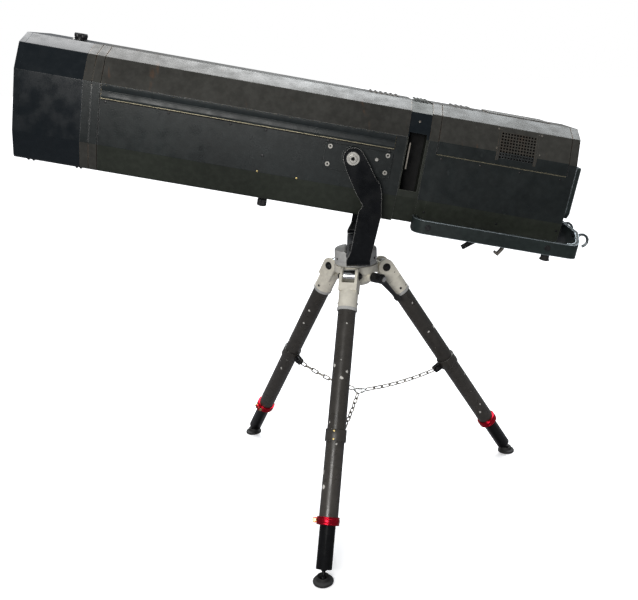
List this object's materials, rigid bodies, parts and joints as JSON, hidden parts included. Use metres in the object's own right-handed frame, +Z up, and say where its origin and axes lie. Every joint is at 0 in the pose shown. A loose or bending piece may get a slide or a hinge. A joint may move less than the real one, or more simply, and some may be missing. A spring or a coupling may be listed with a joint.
{
  "type": "theatre follow spot on a tripod stand",
  "caption": "Long box-section theatre follow spot with sliding lenses, iris, dowser and vented lamp house, in a panning yoke on a folding tripod with extending legs.",
  "frame": {"origin": "on the floor, under the middle of the whole object's box", "axes": "+Z up, the lantern's nose towards -X, the near side with the iris lever towards -Y"},
  "size_m": [1.7948, 1.0768, 1.6263],
  "materials": {
    "shell_grey": "grey hammered paint on sheet aluminium, scuffed and rubbed along its folds",
    "side_grey": "blue-grey hammered paint on sheet aluminium and extrusion",
    "nose_black": "gloss black paint on sheet aluminium",
    "yoke_black": "gloss black paint on bent steel bar, worn on its edges",
    "cream_cast": "cream paint on cast aluminium",
    "pale_cast": "pale grey cast aluminium",
    "leg_grey": "dark grey hammered paint on drawn tube, chipped",
    "black_tube": "black anodised drawn tube",
    "red_ring": "red anodised machined ring",
    "bright_steel": "bright and dulled bare steel",
    "black_fitting": "black painted steel fittings",
    "knob_black": "black moulded plastic",
    "rubber": "black moulded rubber",
    "glass": "clear ground glass",
    "mirror": "polished aluminium"
  },
  "bodies": {
    "head": {"tripod_head": "cream_cast", "pan_bearing": "bright_steel", "spreader_link": "bright_steel", "chain_front": "bright_steel", "chain_right": "bright_steel", "chain_left": "bright_steel"},
    "pan_lock": {"pan_lock_lever": "black_fitting"},
    "leg_front": {"leg_casting_front": "cream_cast", "hinge_bolt_front": "bright_steel", "leg_tube_front": "leg_grey", "clamp_ring_front": "red_ring"},
    "wing_front": {"wing_screw_front": "black_fitting"},
    "inner_front": {"leg_inner_front": "black_tube"},
    "foot_front": {"foot_pad_front": "rubber"},
    "leg_right": {"leg_casting_right": "cream_cast", "hinge_bolt_right": "bright_steel", "leg_tube_right": "leg_grey", "clamp_ring_right": "red_ring"},
    "wing_right": {"wing_screw_right": "black_fitting"},
    "inner_right": {"leg_inner_right": "black_tube"},
    "foot_right": {"foot_pad_right": "rubber"},
    "leg_left": {"leg_casting_left": "cream_cast", "hinge_bolt_left": "bright_steel", "leg_tube_left": "leg_grey", "clamp_ring_left": "red_ring"},
    "wing_left": {"wing_screw_left": "black_fitting"},
    "inner_left": {"leg_inner_left": "black_tube"},
    "foot_left": {"foot_pad_left": "rubber"},
    "yoke": {"pan_hub": "pale_cast", "yoke_frame": "yoke_black"},
    "lantern": {"trunnion_near": "bright_steel", "trunnion_far": "bright_steel", "main_cover": "shell_grey", "main_tray": "side_grey", "side_rail_near": "side_grey", "side_rail_far": "side_grey", "nose_housing": "nose_black", "front_plate": "nose_black", "front_band": "shell_grey", "lens_rod_near": "bright_steel", "lens_rod_far": "bright_steel", "gate_frame": "nose_black", "lamp_house_chassis": "shell_grey", "lamp_house_cover": "shell_grey", "handle_rail": "side_grey", "condenser_lens": "glass", "reflector": "mirror", "lamp": "glass", "lamp_holder": "bright_steel"},
    "front_lens_unit": {"front_lens_carriage": "black_fitting", "front_lens": "glass", "front_lens_knob": "knob_black"},
    "rear_lens_unit": {"rear_lens_carriage": "black_fitting", "rear_lens": "glass", "rear_lens_knob": "knob_black"},
    "iris": {"iris_lever": "bright_steel"},
    "dowser": {"dowser_blade": "black_fitting"},
    "door": {"rear_door": "nose_black"},
    "colour_frame": {"colour_frame": "black_fitting"},
    "latch": {"tray_latch": "black_fitting"}
  },
  "joints": [
    {"name": "pan", "type": "hinge", "parent": "head", "child": "yoke", "pos_m": [0.1554, 0.0974, 0.85], "axis": [0, 0, 1], "continuous": true},
    {"name": "tilt", "type": "hinge", "parent": "yoke", "child": "lantern", "pos_m": [0.1554, 0.0974, 1.2334], "axis": [0, 1, 0], "range_deg": [-40, 24]},
    {"name": "leg_fold_front", "type": "hinge", "parent": "head", "child": "leg_front", "pos_m": [0.13505, -0.00173, 0.8297], "axis": [0.9796, -0.2011, 0], "range_deg": [0, 28], "deforming": ["chain_front"]},
    {"name": "leg_slide_front", "type": "slide", "parent": "leg_front", "child": "inner_front", "axis": [-0.1075, -0.5236, -0.8452], "range_m": [-0.1, 0.2]},
    {"name": "foot_swivel_front", "type": "hinge", "parent": "inner_front", "child": "foot_front", "pos_m": [0.03145, -0.50642, 0.015], "axis": [0.9796, -0.2011, 0], "range_deg": [-12, 12]},
    {"name": "wing_screw_front", "type": "hinge", "parent": "leg_front", "child": "wing_front", "pos_m": [0.08648, -0.23835, 0.35419], "axis": [0.9796, -0.2011, 0], "range_deg": [-170, 170]},
    {"name": "leg_fold_right", "type": "hinge", "parent": "head", "child": "leg_right", "pos_m": [0.25143, 0.12934, 0.8297], "axis": [-0.3156, 0.9489, 0], "range_deg": [0, 28], "deforming": ["chain_right"]},
    {"name": "leg_slide_right", "type": "slide", "parent": "leg_right", "child": "inner_right", "axis": [0.5072, 0.1687, -0.8452], "range_m": [-0.1, 0.2]},
    {"name": "foot_swivel_right", "type": "hinge", "parent": "inner_right", "child": "foot_right", "pos_m": [0.7403, 0.29197, 0.015], "axis": [-0.3156, 0.9489, 0], "range_deg": [-12, 12]},
    {"name": "wing_screw_right", "type": "hinge", "parent": "leg_right", "child": "wing_right", "pos_m": [0.44817, 0.19479, 0.40828], "axis": [-0.3156, 0.9489, 0], "range_deg": [-170, 170]},
    {"name": "leg_fold_left", "type": "hinge", "parent": "head", "child": "leg_left", "pos_m": [0.07972, 0.16459, 0.8297], "axis": [-0.6639, -0.7478, 0], "range_deg": [0, 28], "deforming": ["chain_left"]},
    {"name": "leg_slide_left", "type": "slide", "parent": "leg_left", "child": "inner_left", "axis": [-0.3997, 0.3549, -0.8452], "range_m": [-0.1, 0.2]},
    {"name": "foot_swivel_left", "type": "hinge", "parent": "inner_left", "child": "foot_left", "pos_m": [-0.30555, 0.50665, 0.015], "axis": [-0.6639, -0.7478, 0], "range_deg": [-12, 12]},
    {"name": "wing_screw_left", "type": "hinge", "parent": "leg_left", "child": "wing_left", "pos_m": [-0.07533, 0.30225, 0.40828], "axis": [-0.6639, -0.7478, 0], "range_deg": [-170, 170]},
    {"name": "pan_lock", "type": "hinge", "parent": "head", "child": "pan_lock", "pos_m": [0.23766, 0.02437, 0.81], "axis": [0.7478, -0.6639, 0], "range_deg": [-75, 0]},
    {"name": "front_lens_slide", "type": "slide", "parent": "lantern", "child": "front_lens_unit", "axis": [0.9806, 0, -0.196], "range_m": [-0.12, 0.16]},
    {"name": "rear_lens_slide", "type": "slide", "parent": "lantern", "child": "rear_lens_unit", "axis": [0.9806, 0, -0.196], "range_m": [-0.14, 0.2]},
    {"name": "iris_turn", "type": "hinge", "parent": "lantern", "child": "iris", "pos_m": [0.1554, 0.0974, 1.2334], "axis": [0.9806, 0, -0.196], "range_deg": [-8, 15]},
    {"name": "dowser_turn", "type": "hinge", "parent": "lantern", "child": "dowser", "pos_m": [0.34858, 0.2234, 1.1948], "axis": [0.9806, 0, -0.196], "range_deg": [0, 60]},
    {"name": "rear_door_swing", "type": "hinge", "parent": "lantern", "child": "door", "pos_m": [0.84105, 0.2864, 1.09639], "axis": [0.196, 0, 0.9806], "range_deg": [0, 100]},
    {"name": "colour_frame_lift", "type": "slide", "parent": "lantern", "child": "colour_frame", "axis": [0.196, 0, 0.9806], "range_m": [0, 0.25]},
    {"name": "tray_latch_turn", "type": "hinge", "parent": "lantern", "child": "latch", "pos_m": [0.54905, -0.0526, 0.95793], "axis": [0, 1, 0], "range_deg": [-60, 0]}
  ]
}
